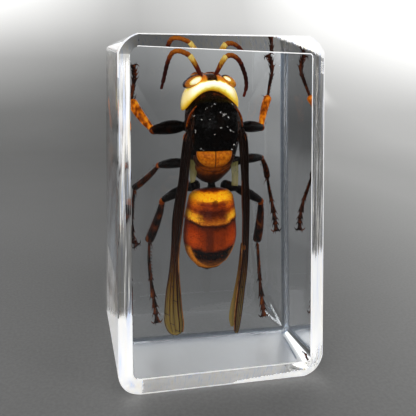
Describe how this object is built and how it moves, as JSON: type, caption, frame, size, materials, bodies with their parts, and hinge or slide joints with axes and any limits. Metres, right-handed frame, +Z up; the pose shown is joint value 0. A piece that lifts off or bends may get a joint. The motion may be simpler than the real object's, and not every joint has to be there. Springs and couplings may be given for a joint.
{
  "type": "insect in resin block",
  "caption": "Clear cast-resin block with polished faces and a ground front chamfer, holding a spread-legged giant hornet seen from above.",
  "frame": {"origin": "centre of the bounding box in plan, on the surface that the block stands on", "axes": "+Z up along the tall side, -Y towards the viewing face, +X to the viewer's right"},
  "size_m": [0.0454, 0.038, 0.075],
  "materials": {
    "clear_resin": "clear, hand polished",
    "dark_cuticle": "glossy black-brown insect cuticle",
    "amber_cuticle": "glossy orange insect cuticle",
    "wing_membrane": "amber translucent membrane"
  },
  "bodies": {
    "root": {"resin_block": "clear_resin"}
  },
  "joints": []
}
